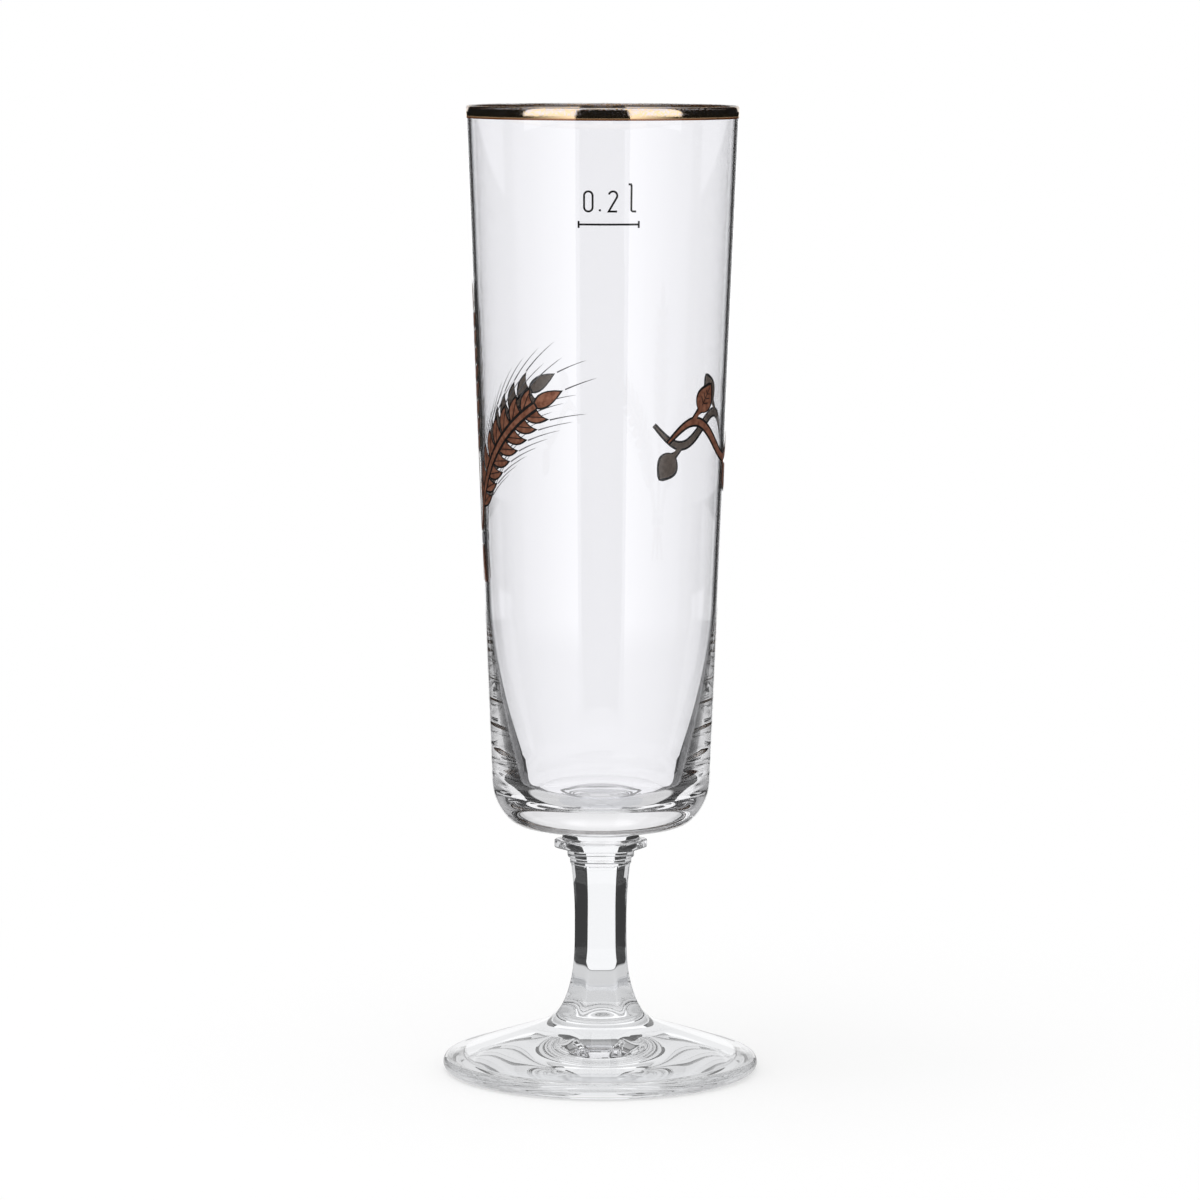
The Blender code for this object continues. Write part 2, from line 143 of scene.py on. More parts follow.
# Ceramic enamel, screen printed and fired: satin, with the faint mottle of the screen. Its mesh of about
# 0.1 mm is too fine to show, so the mottle is drawn at 0.9 mm.
def screenEnamel(name, dark, light, metallic, roughness):
    material, tree, shader, place = newMaterial(name, {"Metallic": metallic})
    mottle = addNode(tree, "ShaderNodeTexNoise", {"Scale": 1 / (0.9 * mm), "Detail": 4.0}, {"Vector": place})
    tone = addNode(tree, "ShaderNodeValToRGB", {}, {"Fac": mottle.outputs[0]})
    tone.color_ramp.elements[0].position = 0.32
    tone.color_ramp.elements[0].color = fromHex(dark)
    tone.color_ramp.elements[1].position = 0.66
    tone.color_ramp.elements[1].color = fromHex(light)
    gloss = addNode(tree, "ShaderNodeMapRange", {"To Min": roughness - 0.06, "To Max": roughness + 0.1},
                    {"Value": mottle.outputs[0]})
    bump = addNode(tree, "ShaderNodeBump", {"Strength": 0.4, "Distance": 0.01 * mm},
                   {"Height": mottle.outputs[0]})
    for node, socket in ((tone, "Base Color"), (gloss, "Roughness"), (bump, "Normal")):
        tree.links.new(node.outputs[0], shader.inputs[socket])
    return material


# Blowing leaves slow waves in the bowl; the mould chills the stem and the foot into closer ripples.
bowlGlass = clearGlass("soda-lime glass, blown and fire polished", "#FDFDFF", 25, 0.0, 0.1)
stemGlass = clearGlass("soda-lime glass, pressed and fire polished", "#FBFCFE", 9, 1.0, 0.2)
seamGlass = fusedSeam()
goldFilm = firedGold()
blackEnamel = screenEnamel("black ceramic enamel, fired", "#0E0C0C", "#1B1818", 0.0, 0.40)
copperLustre = screenEnamel("copper lustre enamel, fired", "#7A4A36", "#A8725A", 0.5, 0.42)
silverLustre = screenEnamel("grey lustre enamel, fired", "#77767A", "#A5A4A8", 0.5, 0.40)
undercoat = screenEnamel("tan enamel undercoat, fired", "#B09C8B", "#CBB8A8", 0.1, 0.45)
print("materials made")


turnSteps = 240  # flats round each turned piece, a multiple of six for the six-sided ones
sharpFold = 35  # degrees; a fold sharper than this keeps its edge in the shading


# The radius of a six-sided piece at an angle; more sharpness gives crisper corners.
def sixSided(radius, angle, sharpness=18):
    total = sum(max(0.0, math.cos(angle - math.radians(30 + 60 * k))) ** sharpness for k in range(6))
    return radius * math.cos(math.radians(30)) / total ** (1 / sharpness)


def arcPoints(centre, radii, start, end, steps):
    turns = [math.radians(start + (end - start) * i / steps) for i in range(steps + 1)]
    return [(centre[0] + radii[0] * math.cos(a), centre[1] + radii[1] * math.sin(a)) for a in turns]


def cubicPoints(p0, p1, p2, p3, steps):
    points = []
    for i in range(steps + 1):
        t = i / steps
        weights = ((1 - t) ** 3, 3 * (1 - t) ** 2 * t, 3 * (1 - t) * t * t, t ** 3)
        points.append(tuple(sum(w * p[k] for w, p in zip(weights, (p0, p1, p2, p3))) for k in (0, 1)))
    return points


# Points along a straight wall, close together at its ends so that the shading there stays true.
def wallPoints(start, end):
    shares = (0.004, 0.012, 0.03, 0.07, 0.14, 0.25, 0.38, 0.5, 0.62, 0.75, 0.86, 0.93, 0.97, 0.988, 0.996)
    return [(start[0] + t * (end[0] - start[0]), start[1] + t * (end[1] - start[1])) for t in shares]


# Rings are (radius, height, six-sidedness) in mm, in order along the skin. Radius 0 closes it at the axis,
# and a closed skin runs on from its last ring to its first.
def skinRings(name, rings, material, seams=(), closed=False):
    mesh = bmesh.new()
    loops = []
    for ring in rings:
        radius, height = ring[0], ring[1]
        sided = ring[2] if len(ring) > 2 else 0.0
        if radius == 0:
            loops.append([mesh.verts.new((0, 0, height * mm))])
            continue
        loop = []
        for i in range(turnSteps):
            a = 2 * math.pi * i / turnSteps
            r = radius + sided * (sixSided(radius, a) - radius)
            loop.append(mesh.verts.new((r * mm * math.cos(a), r * mm * math.sin(a), height * mm)))
        loops.append(loop)
    count = len(loops)
    for k in range(count if closed else count - 1):
        one, two = loops[k], loops[(k + 1) % count]
        for i in range(turnSteps):
            j = (i + 1) % turnSteps
            if len(one) == 1:
                face = mesh.faces.new((one[0], two[j], two[i]))
            elif len(two) == 1:
                face = mesh.faces.new((one[i], one[j], two[0]))
            else:
                face = mesh.faces.new((one[i], one[j], two[j], two[i]))
            face.material_index = 1 if k in seams else 0
    bmesh.ops.recalc_face_normals(mesh, faces=mesh.faces[:])
    return finishPiece(name, mesh, [material, seamGlass] if seams else [material])


def finishPiece(name, mesh, materials):
    data = bpy.data.meshes.new(name)
    mesh.to_mesh(data)
    mesh.free()
    data.shade_smooth()
    data.set_sharp_from_angle(angle=math.radians(sharpFold))
    for material in materials:
        data.materials.append(material)
    piece = bpy.data.objects.new(name, data)
    scene.collection.objects.link(piece)
    return piece


def dress(piece, slot, *nodes):
    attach(piece, "root")
    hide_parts(*nodes)


# Heights of the fused joints and of the rim in mm, bottom to top.
joints = {"bossTop": 15.4, "collarUnder": 46.5, "collarTop": 48.3, "bowlUnder": 51.3, "rim": 199.7}

bowl = {"rimRadius": 28.0, "heelRadius": 22.6, "heelHeight": 10.2, "heelWidth": 7.3, "wall": 0.9, "base": 5.9,
        "heavyFrom": 97.0, "heavyPull": 0.3, "floorRings": (0, 3, 6, 8.5, 10), "floorFlat": 12.0,
        "floorFillet": 6.0, "floorLean": 14.0, "neckRadius": 8.0, "neckFillet": 1.2, "seatFillet": 0.6,
        "lipOutside": 1.4, "lipInside": 0.6}


def wallRadius(height):
    low = joints["bowlUnder"] + bowl["heelHeight"]
    grown = (bowl["rimRadius"] - bowl["heelRadius"]) * (height - low) / (joints["rim"] - low)
    return bowl["heelRadius"] + grown


# The rounded lip as two quarter arcs, the inside one and the outside one.
def lipPoints(grow, steps):
    half = bowl["wall"] / 2
    middle = wallRadius(joints["rim"]) - half
    arcs = []
    for drop, start, end in ((bowl["lipInside"], 180, 90), (bowl["lipOutside"], 90, 0)):
        arcs.append(arcPoints((middle, joints["rim"] - drop), (half + grow, drop + grow), start, end, steps))
    return arcs


# One skin, from the middle of the inner floor up to the lip and down the outside to the neck.
def makeBowl():
    b = bowl
    under, rim = joints["bowlUnder"], joints["rim"]
    heel = under + b["heelHeight"]
    floor = under + b["base"]
    lean = math.radians(b["floorLean"])
    taper = (b["rimRadius"] - b["heelRadius"]) / (rim - heel)
    fillet = b["floorFillet"]
    dish = arcPoints((b["floorFlat"], floor + fillet), (fillet, fillet), -90, -b["floorLean"], 24)
    low = dish[-1]
    high = (wallRadius(b["heavyFrom"]) - b["wall"], b["heavyFrom"])
    pull = b["heavyPull"] * (high[1] - low[1])
    lowPull = (low[0] + pull * math.tan(lean), low[1] + pull)
    highPull = (high[0] - pull * taper, high[1] - pull)
    inside, outside = lipPoints(0, 12)
    rings = [(r, floor) for r in b["floorRings"]] + dish
    rings += cubicPoints(low, lowPull, highPull, high, 48)[1:]
    rings += wallPoints(high, inside[0]) + inside + outside[1:]
    rings += wallPoints(outside[-1], (b["heelRadius"], heel))
    width = b["heelWidth"]
    rings += arcPoints((b["heelRadius"] - width, heel), (width, b["heelHeight"]), 0, -90, 48)
    neck, seat = b["neckFillet"], b["seatFillet"]
    rings += arcPoints((b["neckRadius"] + neck, under - neck), (neck, neck), 90, 180, 6)
    rings += arcPoints((b["neckRadius"] + seat, joints["collarTop"] + seat), (seat, seat), 180, 270, 5)
    rings += [(0, joints["collarTop"])]
    piece = skinRings("glassBowl", rings, bowlGlass, seams=[len(rings) - 2])
    dress(piece, "clear_glass", "bowl")


collar = {"radius": 10.0, "edge": 0.35}


def makeCollar():
    low, high, edge = joints["collarUnder"], joints["collarTop"], collar["edge"]
    middle = collar["radius"] - edge
    sides = arcPoints((middle, high - edge), (edge, edge), 90, 0, 4)
    sides += arcPoints((middle, low + edge), (edge, edge), 0, -90, 4)
    rings = [(0, high), (bowl["neckRadius"] + bowl["seatFillet"], high)]
    rings += [(r, z, 1.0) for r, z in sides]
    rings += [(stem["upperTier"] + stem["tierEdge"], low), (0, low)]
    piece = skinRings("glassCollar", rings, stemGlass, seams=[0, len(rings) - 2])
    dress(piece, "clear_glass", "collar")


stem = {"waist": 5.58, "waistHeight": 31.5, "footFlare": 1.85, "footPower": 3.5, "topFlare": 0.8,
        "topPower": 2, "upperTier": 6.95, "upperLow": 44.6, "lowerTier": 6.4, "lowerLow": 43.2,
        "tierEdge": 0.3, "tierFillet": 0.15}


# Two round tiers under the collar, then the six-sided shaft to its waist and out again to the boss.
def makeStem():
    s = stem
    edge, fillet = s["tierEdge"], s["tierFillet"]
    low, high = joints["bossTop"], joints["collarUnder"]
    rings = [(0, high), (s["upperTier"] + edge, high)]
    rings += arcPoints((s["upperTier"] + edge, high - edge), (edge, edge), 90, 180, 4)[1:]
    rings += arcPoints((s["upperTier"] - edge, s["upperLow"] + edge), (edge, edge), 0, -90, 4)
    rings += arcPoints((s["lowerTier"] + fillet, s["upperLow"] - fillet), (fillet, fillet), 90, 180, 3)
    rings += arcPoints((s["lowerTier"] - edge, s["lowerLow"] + edge), (edge, edge), 0, -80, 4)
    top, waist = s["lowerLow"] - fillet, s["waistHeight"]
    steps = 24
    for i in range(steps + 1):
        t = i / steps
        rings.append((s["waist"] + s["topFlare"] * (1 - t) ** s["topPower"], top - t * (top - waist), 1.0))
    steps = 32
    for i in range(1, steps + 1):
        t = i / steps
        rings.append((s["waist"] + s["footFlare"] * t ** s["footPower"], waist - t * (waist - low), 1.0))
    rings += [(0, low)]
    piece = skinRings("glassStem", rings, stemGlass, seams=[0, len(rings) - 2])
    dress(piece, "clear_glass", "stem")


foot = {"radius": 32.7, "edge": 3.0, "bossLean": 17.0, "bossPull": 6.5, "plateLean": 19.5, "platePull": 22.0,
        "blend": 0.22, "ring": 4.0, "ringEdge": 0.4, "hollow": 3.5, "hollowPower": 2.0}


# Boss and plate are one curve, six-sided where it leaves the stem and round after the blend.
def makeFoot():
    f = foot
    top = joints["bossTop"]
    half = f["edge"] / 2
    rim = (f["radius"] - half, f["edge"])
    lean, slope = math.radians(f["bossLean"]), math.radians(f["plateLean"])
    start = (stem["waist"] + stem["footFlare"], top)
    down = (start[0] + f["bossPull"] * math.sin(lean), start[1] - f["bossPull"] * math.cos(lean))
    back = (rim[0] - f["platePull"] * math.cos(slope), rim[1] + f["platePull"] * math.sin(slope))
    rings = [(0, top)]
    steps = 64
    for i, (r, z) in enumerate(cubicPoints(start, down, back, rim, steps)):
        t = min(1.0, i / steps / f["blend"])
        rings.append((r, z, (1 - t) ** 2 * (1 + 2 * t)))
    rings += arcPoints((rim[0], half), (half, half), 85, -90, 20)
    inner = rim[0] - f["ring"]
    rings += [(inner + f["ringEdge"], 0.0)]
    steps = 40
    for i in range(steps + 1):
        t = 1 - i / steps
        rings.append((inner * t, f["hollow"] * (1 - t ** f["hollowPower"])))
    piece = skinRings("glassFoot", rings, stemGlass, seams=[0])
    dress(piece, "clear_glass", "foot")


makeBowl()
makeCollar()
makeStem()
makeFoot()
print("glass made")


band = {"height": 2.5, "gap": 0.01, "film": 0.03}


# A thin closed film over the outside of the lip.
def makeBand():
    near, far = band["gap"], band["gap"] + band["film"]
    low = joints["rim"] - band["height"]
    rings = lipPoints(far, 12)[1] + [(wallRadius(low) + far, low), (wallRadius(low) + near, low)]
    rings += lipPoints(near, 12)[1][::-1]
    dress(skinRings("goldRimBand", rings, goldFilm, closed=True), "fired_gold", "gold_rim_band")


makeBand()
print("gold band made")


prints = {"gap": 0.01, "film": 0.02, "cutSlack": 0.0005}
front, left, right = 270, 180, 0  # degrees round the glass where the prints stand


# Films are (outlines, strokes, layer, material). Their points are in mm along and up the wall, and each film
# becomes a thin closed skin on it, cut at the flats of the wall so that it lies on them.
def layPrint(name, films, azimuth, height, materials):
    whole = bmesh.new()
    radius = wallRadius(height)
    facet = 2 * math.pi / turnSteps
    centre = math.radians(azimuth)
    for outlines, strokes, layer, material in films:
        mesh = bmesh.new()
        for points in outlines:
            face = mesh.faces.new([mesh.verts.new((u, v, 0)) for u, v in points])
            face.normal_update()
            bmesh.ops.triangulate(mesh, faces=[face], ngon_method="EAR_CLIP")
        for path, width, closed in strokes:
            strokeFaces(mesh, path, width, closed)
        reach = max(abs(v.co.x) for v in mesh.verts) / radius
        for k in range(math.ceil((centre - reach) / facet), math.floor((centre + reach) / facet) + 1):
            cut = ((k * facet - centre) * radius, 0, 0)
            bmesh.ops.bisect_plane(mesh, geom=mesh.verts[:] + mesh.edges[:] + mesh.faces[:],
                                   dist=prints["cutSlack"], plane_co=cut, plane_no=(1, 0, 0))
        mesh.normal_update()
        grown = bmesh.ops.extrude_face_region(mesh, geom=mesh.faces[:], use_keep_orig=True)
        for v in grown["geom"]:
            if isinstance(v, bmesh.types.BMVert):
                v.co.z = prints["film"]
        bmesh.ops.recalc_face_normals(mesh, faces=mesh.faces[:])
        lift = prints["gap"] + layer * (prints["film"] + prints["gap"])
        for v in mesh.verts:
            a = centre + v.co.x / radius
            off = a % facet - facet / 2
            z = height + v.co.y
            r = (wallRadius(z) * math.cos(facet / 2) + lift + v.co.z) / math.cos(off)
            v.co = (r * mm * math.cos(a), r * mm * math.sin(a), z * mm)
        for face in mesh.faces:
            face.material_index = material
        part = bpy.data.meshes.new(name)
        mesh.to_mesh(part)
        mesh.free()
        whole.from_mesh(part)
        bpy.data.meshes.remove(part)
    return finishPiece(name, whole, materials)


# A line of even width along a path, with mitred corners.
def strokeFaces(mesh, path, width, closed):
    count = len(path)
    sides = []
    for i, (u, v) in enumerate(path):
        before = path[i - 1] if closed or i > 0 else (2 * u - path[1][0], 2 * v - path[1][1])
        after = path[(i + 1) % count] if closed or i < count - 1 else (2 * u - before[0], 2 * v - before[1])
        a = math.atan2(v - before[1], u - before[0])
        turn = math.remainder(math.atan2(after[1] - v, after[0] - u) - a, 2 * math.pi)
        normal = a + turn / 2 + math.pi / 2
        reach = width / 2 / math.cos(turn / 2)
        du, dv = reach * math.cos(normal), reach * math.sin(normal)
        sides.append((mesh.verts.new((u + du, v + dv, 0)), mesh.verts.new((u - du, v - dv, 0))))
    for i in range(count if closed else count - 1):
        (a, b), (c, d) = sides[i], sides[(i + 1) % count]
        mesh.faces.new((a, b, d, c))


fill = {"line": 176.6, "length": 12.5, "lineWidth": 0.40, "tick": 1.4, "stroke": 0.40, "lift": 2.6,
        "height": 4.0, "width": 1.7, "litre": 5.4, "serif": 0.6, "zero": -4.1, "point": -1.8, "two": 0.8,
        "letter": 4.5}


def makeFillMark():
    f = fill
    half, tick, w = f["length"] / 2, f["tick"] / 2, f["lineWidth"] / 2
    rightTop = [(half, tick), (half - 2 * w, tick), (half - 2 * w, w)]
    leftTop = [(-u, v) for u, v in rightTop[::-1]]
    low = [(u, -v) for u, v in (rightTop + leftTop)[::-1]]
    piece = layPrint("fillLine", [([rightTop + leftTop + low], [], 0, 0)], front, f["line"], [blackEnamel])
    dress(piece, "black_enamel", "fill_line")

    base = f["line"] + f["lift"]
    h = f["width"] / 2
    zero = arcPoints((0, f["height"] - h), (h, h), 0, 180, 12) + arcPoints((0, h), (h, h), 180, 360, 12)
    two = arcPoints((0, f["height"] - h), (h, h), 165, -35, 12) + [(-h, 0), (h, 0)]
    bend = f["stroke"]
    litre = [(-f["serif"], f["litre"]), (-bend * 0.3, f["litre"]), (0, f["litre"] - bend * 0.6)]
    litre += arcPoints((bend, bend), (bend, bend), 180, 270, 5) + [(bend + f["serif"], 0)]
    dot = bend * 0.6  # a little fatter than the strokes
    point = arcPoints((0, dot), (dot, dot), 0, 360, 14)[:-1]
    for name, node, along, outlines, strokes in (
            ("fillZero", "fill_digit_zero", f["zero"], [], [(zero, f["stroke"], True)]),
            ("fillPoint", "fill_point", f["point"], [point], []),
            ("fillTwo", "fill_digit_two", f["two"], [], [(two, f["stroke"], False)]),
            ("fillLitre", "fill_letter_litre", f["letter"], [], [(litre, f["stroke"], False)])):
        azimuth = front + math.degrees(along / wallRadius(base))
        piece = layPrint(name, [(outlines, strokes, 0, 0)], azimuth, base, [blackEnamel])
        dress(piece, "black_enamel", node)


makeFillMark()
print("fill mark made")


# The tip's length counts in grains, and the bend is how far an outer ear turns over its length. A crease
# starts beside the stalk and stops short of the grain's tip and under it.
sheaf = {"tie": 111.3, "tieWidth": 8.5, "tieHeight": 2.2, "tieGap": 0.3, "stalk": 1.0, "spread": 2.6,
         "outline": 0.45, "grains": 8, "pitch": 3.6, "reach": 4.2, "tip": 1.8, "middleStalk": 15.5,
         "sideStalk": 6.0, "lean": 20, "bend": 44, "stubble": 7.5, "stubbleSpread": 4.0, "crease": 0.2,
         "creaseStart": 0.9, "creaseShort": 0.6, "creaseUnder": 0.7, "awn": 8.5, "awnWidth": 0.3,
         "awnLean": 15, "awnGap": 0.15}


# A half outline and its mirror image, as one closed outline.
def mirrored(half):
    return half + [(-u, v) for u, v in half[::-1] if abs(u) > 1e-9]


def quadPoints(a, b, c, steps):
    ts = [i / steps for i in range(1, steps + 1)]
    return [tuple((1 - t) ** 2 * a[k] + 2 * (1 - t) * t * b[k] + t * t * c[k] for k in (0, 1)) for t in ts]


# The grains in the middle of an ear reach out furthest.
def grainTip(i, stalk):
    s = sheaf
    swell = 0.7 + 0.3 * math.sin(math.pi * (i + 1) / (s["grains"] + 1))
    return s["reach"] * swell, stalk + (i + 1.25) * s["pitch"]


# One grain's edge, from its base at the stalk round its tip and back; inset draws it smaller.
def grainEdge(i, stalk, inset):
    s = sheaf
    low = stalk + i * s["pitch"]
    out, up = grainTip(i, stalk)
    reach = out + s["outline"] - inset
    side = s["stalk"] / 2 + s["outline"] + inset * 0.3
    base = (side, low + inset)
    tip = (reach, up + s["outline"] - 1.6 * inset)
    notch = (side, low + s["pitch"] - inset * 0.5)
    belly = (reach * 1.02, low + 0.30 * s["pitch"] + inset)
    hollow = (reach * 0.62, low + 0.95 * s["pitch"] - inset * 0.5)
    return [base] + quadPoints(base, belly, tip, 6) + quadPoints(tip, hollow, notch, 4)


# The right half of the grain at the end of an ear.
def tipEdge(stalk, inset):
    s = sheaf
    top = stalk + s["grains"] * s["pitch"] + inset
    wide = s["reach"] * 0.40 + s["outline"] - inset
    base, belly = (wide * 0.35, top), (wide * 1.3, top + 0.6 * s["pitch"])
    tip = (0, top + s["tip"] * s["pitch"] + s["outline"] - 2.4 * inset)
    return [base] + quadPoints(base, belly, tip, 6)


# A bristle from a grain's tip, thinning to a point.
def awnEdge(start, lean, length):
    wide = sheaf["awnWidth"] / 2
    a = math.radians(lean)
    along, across = (math.sin(a), math.cos(a)), (math.cos(a), -math.sin(a))
    near, far = [], []
    steps = 6
    for k in range(steps):
        t = k / steps
        u, v = start[0] + t * length * along[0], start[1] + t * length * along[1]
        w = wide * (1 - 0.75 * t)
        near.append((u + w * across[0], v + w * across[1]))
        far.append((u - w * across[0], v - w * across[1]))
    return near + [(start[0] + length * along[0], start[1] + length * along[1])] + far[::-1]


# Lays an upright shape along an arc; its points are (across, along).
def bentAlong(points, start, lean, bend, length):
    moved = []
    for w, s in points:
        a = math.radians(lean + bend * s / length)
        if bend:
            k = length / math.radians(bend)
            u = k * (math.cos(math.radians(lean)) - math.cos(a))
            v = k * (math.sin(a) - math.sin(math.radians(lean)))
        else:
            u, v = 0, s
        moved.append((start + u + w * math.cos(a), v - w * math.sin(a)))
    return moved


# One ear: a black outline, copper grains on a tan undercoat with a black crease in each, and grey awns.
def makeEar(name, side, root):
    s = sheaf
    length = s["sideStalk"] + (s["grains"] + s["tip"]) * s["pitch"]
    stalk = s["sideStalk"] if side else s["middleStalk"]
    lay = [side * s["spread"], side * s["lean"], side * s["bend"], length]
    wide = s["stalk"] / 2 + s["outline"]
    half = [(wide, -s["outline"])] + [(wide, stalk * k / 8) for k in range(8)]
    grains, creases, awns = [mirrored(tipEdge(stalk, s["outline"]))], [], []
    for i in range(s["grains"]):
        half += grainEdge(i, stalk, 0)
        grain = grainEdge(i, stalk, s["outline"])
        out, up = grainTip(i, stalk)
        span, end = out - s["creaseStart"] - s["creaseShort"], up - s["creaseUnder"]
        crease = [(s["creaseStart"] + t * span, end - (1 - t) * 0.8 * s["pitch"]) for t in (0, 0.35, 0.7, 1)]
        awn = awnEdge((out + s["outline"] + s["awnGap"], up + s["outline"]), s["awnLean"], s["awn"])
        for sign in (1, -1):
            grains.append([(sign * u, v) for u, v in grain][::sign])
            creases.append([(sign * u, v) for u, v in crease])
            awns.append([(sign * u, v) for u, v in awn][::sign])
    half += tipEdge(stalk, 0)
    top = stalk + s["grains"] * s["pitch"]
    awns.append(awnEdge((0, top + s["tip"] * s["pitch"] + 2 * s["outline"]), 0, s["awn"] * 0.8))
    steps = int(top / 2)
    grains.append(mirrored([(s["stalk"] / 2, k * top / steps) for k in range(steps + 1)]))
    outline = [bentAlong(mirrored(half), *lay)]
    grains = [bentAlong(shape, *lay) for shape in grains]
    creases = [(bentAlong(path, *lay), s["crease"], False) for path in creases]
    awns = [bentAlong(shape, *lay) for shape in awns]
    films = [(outline, [], 1, 0), ([], creases, 3, 0)]
    piece = layPrint(name + "EarOutline", films, left, root, [blackEnamel])
    dress(piece, "black_enamel", "barley_" + name + "_outline")
    films = [(grains, [], 2, 0), (grains, [], 0, 1)]
    piece = layPrint(name + "Ear", films, left, root, [copperLustre, undercoat])
    dress(piece, "copper_enamel", "barley_" + name + "_ear")
    piece = layPrint(name + "Awns", [(awns, [], 0, 0)], left, root, [silverLustre])
    dress(piece, "silver_enamel")


def makeSheaf():
    s = sheaf
    root = s["tie"] + s["tieHeight"] / 2 + s["outline"] + s["tieGap"]
    for name, side in (("middle", 0), ("front", 1), ("rear", -1)):
        makeEar(name, side, root)
    half = s["tieWidth"] / 2
    end = arcPoints((half - s["tieHeight"] / 2, 0), (s["tieHeight"] / 2,) * 2, -90, 90, 10)
    piece = layPrint("sheafTie", [([mirrored(end)], [], 0, 0)], left, s["tie"], [silverLustre])
    dress(piece, "silver_enamel", "sheaf_tie")
    far, length = s["stubbleSpread"], s["stubble"]
    cut = [(half * 0.55, 0), (far + s["stalk"] / 2, -length), (far - s["stalk"], -length)]
    cut += [(s["stalk"], -length * 0.25), (s["stalk"] * 0.7, -length)]
    under = s["tie"] - s["tieHeight"] / 2 - s["tieGap"]
    piece = layPrint("sheafStubble", [([mirrored(cut)], [], 0, 0)], left, under, [copperLustre])
    dress(piece, "copper_enamel", "sheaf_stubble")


makeSheaf()
print("barley sheaf made")


# The ends of the stalk thin out over so many of the points along it, down to a share of its width.
vine = {"middle": 132.5, "length": 54.0, "wave": 4.0, "turns": 2, "stalk": 1.2, "taper": 14, "endWidth": 0.2,
        "leaf": 8.8, "leafWidth": 4.2, "leafStalk": 2.6, "leafStalkWidth": 0.9, "leafAngle": 55,
        "outline": 0.45, "vein": 0.2}


def leafEdge(base, angle, grow):
    v = vine
    length = v["leaf"] + grow
    a = math.radians(angle)
    near, far = [], []
    steps = 14
    for k in range(steps):
        t = k / steps
        along = v["leafStalk"] + t * (length - v["leafStalk"])
        half = v["leafWidth"] / 2 * math.sin(math.pi * t ** 0.8) + v["leafStalkWidth"] / 2 * (1 - t) + grow
        spot = (base[0] + along * math.cos(a), base[1] + along * math.sin(a))
        near.append((spot[0] - half * math.sin(a), spot[1] + half * math.cos(a)))
        far.append((spot[0] + half * math.sin(a), spot[1] - half * math.cos(a)))
    tip = (base[0] + length * math.cos(a), base[1] + length * math.sin(a))
    return near + [tip] + far[::-1]


# A middle vein and three pairs of side veins, drawn along the leaf and then turned with it.
def leafVeins(base, angle):
    v = vine
    cos, sin = math.cos(math.radians(angle)), math.sin(math.radians(angle))
    span = v["leaf"] - v["leafStalk"]
    lines = [[(v["leafStalk"] + t * span, 0) for t in (0.2, 0.55, 0.88)]]
    for t in (0.28, 0.46, 0.64):
        reach = 0.62 * v["leafWidth"] / 2 * math.sin(math.pi * (t + 0.12) ** 0.8)
        start = v["leafStalk"] + t * span
        for sign in (1, -1):
            lines.append([(start + 0.12, sign * 0.2), (start + 0.7 * reach, sign * reach)])
    veins = []
    for line in lines:
        path = [(base[0] + x * cos - y * sin, base[1] + x * sin + y * cos) for x, y in line]
        veins.append((path, v["vein"], False))
    return veins


# The stalk is a sine wave with a leaf on each crest and one under each trough.
def vineEdge(grow):
    v = vine
    waveSteps = 48
    steps = waveSteps * v["turns"]
    upper, lower, veins = [], [], []
    for i in range(steps + 1):
        u = v["length"] * (i / steps - 0.5)
        phase = 2 * math.pi * v["turns"] * i / steps
        y = v["wave"] * math.sin(phase)
        tilt = math.atan(v["wave"] * 2 * math.pi * v["turns"] / v["length"] * math.cos(phase))
        half = v["stalk"] / 2 * min(1.0, v["endWidth"] + min(i, steps - i) / v["taper"]) + grow
        upper.append((u - half * math.sin(tilt), y + half * math.cos(tilt)))
        lower.append((u + half * math.sin(tilt), y - half * math.cos(tilt)))
        if i % waveSteps == waveSteps // 4:
            upper[-1:] = leafEdge((u, y), v["leafAngle"], grow)
            veins += leafVeins((u, y), v["leafAngle"])
        if i % waveSteps == waveSteps * 3 // 4:
            lower[-1:] = leafEdge((u, y), -v["leafAngle"], grow)[::-1]
            veins += leafVeins((u, y), -v["leafAngle"])
    return upper + lower[::-1], veins


def makeVine():
    edge, veins = vineEdge(vine["outline"])
    films = [([edge], [], 1, 0), ([], veins, 3, 0)]
    piece = layPrint("vineOutline", films, right, vine["middle"], [blackEnamel])
    dress(piece, "black_enamel", "vine_outline")
    edge = vineEdge(0)[0]
    films = [([edge], [], 2, 0), ([edge], [], 0, 1)]
    piece = layPrint("vineLeaves", films, right, vine["middle"], [copperLustre, undercoat])
    dress(piece, "copper_enamel", "vine")


makeVine()
print("vine made")


# Solved from the rim, the base and the foot in the photo; lengths in mm, angles in degrees.
view = {"azimuth": -2.7, "distance": 1029.7, "height": 218.9, "pitch": 6.69, "roll": 0.15, "aside": -0.29,
        "lens": 150.7, "sensor": 36, "clip": 50}


def makeCamera():
    data = bpy.data.cameras.new("camera")
    data.lens = view["lens"]
    data.sensor_width = view["sensor"]
    data.clip_start = view["clip"] * mm
    camera = bpy.data.objects.new("camera", data)
    scene.collection.objects.link(camera)
    turn = Matrix.Rotation(math.radians(view["azimuth"]), 4, "Z")
    stand = Matrix.Translation((view["aside"] * mm, -view["distance"] * mm, view["height"] * mm))
    pitch = Matrix.Rotation(math.radians(90 - view["pitch"]), 4, "X")
    tilt = pitch @ Matrix.Rotation(math.radians(view["roll"]), 4, "Z")
    camera.matrix_world = turn @ stand @ tilt
    scene.camera = camera
    return camera


camera = makeCamera()
print("camera set")

